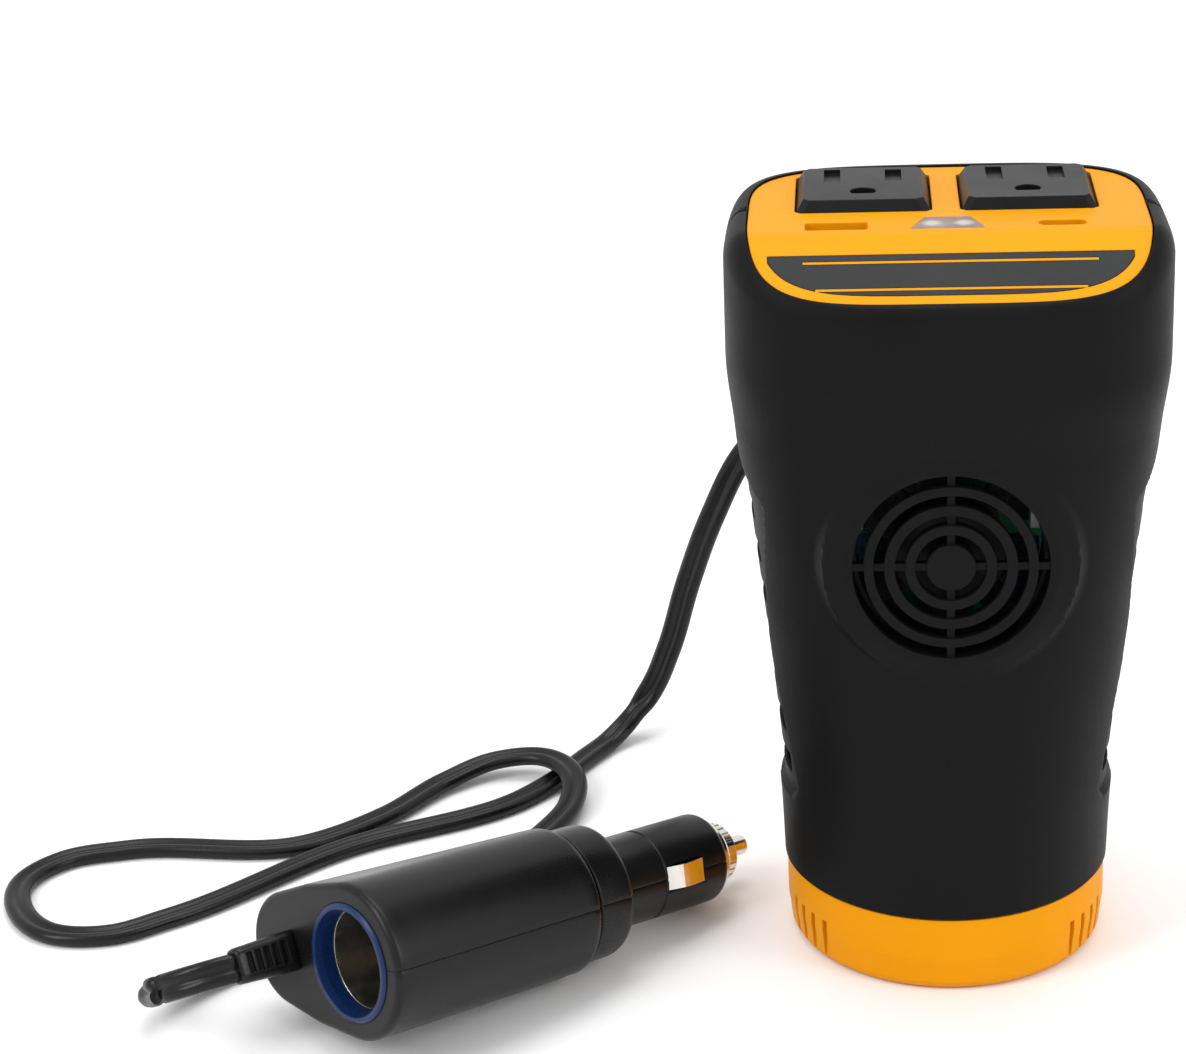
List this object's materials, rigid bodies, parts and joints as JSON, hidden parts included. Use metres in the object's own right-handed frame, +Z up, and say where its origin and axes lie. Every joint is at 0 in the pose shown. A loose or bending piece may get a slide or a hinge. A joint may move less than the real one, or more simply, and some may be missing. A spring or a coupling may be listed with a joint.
{
  "type": "power inverter",
  "caption": "Cup-holder power inverter with AC outlets, USB ports, a fan grille and side vents, and a flat cord to a 12 V plug with a pass-through socket.",
  "frame": {"origin": "middle of the base ring, on the surface it stands on; measured without the cord, its gland and the adapter", "axes": "+Z up through the outlets, the fan grille and the label face -Y, the cord leaves at +Y, the adapter lies at -X"},
  "size_m": [0.262, 0.168, 0.1669],
  "materials": {
    "black_abs": "fine matte texture, satin at grazing angles",
    "yellow_abs": "fine matte texture",
    "label_grey": "smooth satin film",
    "frosted_lens": "frosted clear plastic",
    "led_white": "clear lens LED",
    "outlet_black": "fine satin texture",
    "contact_brass": "stamped",
    "nickel": "nickel plated, lightly scuffed",
    "board_green": "solder mask",
    "ferrite": "sintered, dull",
    "copper_winding": "enamelled wire",
    "capacitor_sleeve": "shrink sleeve",
    "heatsink_aluminium": "extruded",
    "fan_plastic": "moulded",
    "zinc_steel": "zinc plated",
    "cord_pvc": "soft satin PVC",
    "lead_pvc": "soft satin PVC",
    "adapter_abs": "satin moulded",
    "blue_plastic": "moulded, smooth"
  },
  "bodies": {
    "inverter": {"front_shell": "black_abs", "rear_shell": "black_abs", "top_plate": "yellow_abs", "label_plate": "label_grey", "led_lens": "frosted_lens", "indicator_leds": "led_white", "outlet_left": "outlet_black", "outlet_right": "outlet_black", "outlet_contacts_left": "contact_brass", "outlet_contacts_right": "contact_brass", "usb_a_port": "nickel", "usb_c_port": "nickel", "usb_board": "board_green", "main_board": "board_green", "transformer_core": "ferrite", "transformer_winding": "copper_winding", "filter_capacitors": "capacitor_sleeve", "power_transistors": "outlet_black", "heatsink": "heatsink_aluminium", "fan_frame": "fan_plastic", "fan_stator": "copper_winding", "fan_screws": "zinc_steel", "board_screws": "zinc_steel", "shell_screws": "zinc_steel", "plate_screws": "zinc_steel", "base_ring": "yellow_abs", "base_screws": "zinc_steel", "cable_gland": "cord_pvc", "input_leads": "lead_pvc", "outlet_leads": "lead_pvc", "cord": "cord_pvc", "adapter_upper_shell": "adapter_abs", "adapter_lower_shell": "adapter_abs", "adapter_screws": "zinc_steel", "adapter_strain_relief": "cord_pvc", "socket_ring": "blue_plastic", "socket_tube": "nickel", "socket_insulator": "fan_plastic", "socket_contact": "contact_brass", "tip_spring": "zinc_steel"},
    "fan_wheel": {"fan_rotor": "fan_plastic"},
    "plug_tip": {"tip_pin": "nickel", "fuse": "nickel"},
    "left_contact": {"ground_spring_left": "nickel"},
    "right_contact": {"ground_spring_right": "nickel"},
    "nose": {"nose_ring": "nickel"}
  },
  "joints": [
    {"name": "fan_spin", "type": "hinge", "parent": "inverter", "child": "fan_wheel", "pos_m": [0, -0.025, 0.0996], "axis": [0, 1, 0], "continuous": true},
    {"name": "tip_press", "type": "slide", "parent": "inverter", "child": "plug_tip", "axis": [-0.6975, -0.7049, 0.1288], "range_m": [0, 0.003], "stiffness_N_per_m": 400, "springref_m": -0.003, "deforming": ["tip_spring"]},
    {"name": "left_contact_press", "type": "slide", "parent": "inverter", "child": "left_contact", "axis": [0.7107, -0.6576, 0.25], "range_m": [0, 0.0009], "stiffness_N_per_m": 900, "springref_m": -0.0005},
    {"name": "right_contact_press", "type": "slide", "parent": "inverter", "child": "right_contact", "axis": [-0.7107, 0.6576, -0.25], "range_m": [0, 0.0009], "stiffness_N_per_m": 900, "springref_m": -0.0005},
    {"name": "nose_unscrew", "type": "hinge", "parent": "inverter", "child": "nose", "pos_m": [-0.05425, 0.00809, 0.01037], "axis": [0.6975, 0.7049, -0.1288], "range_deg": [0, 1440]}
  ]
}
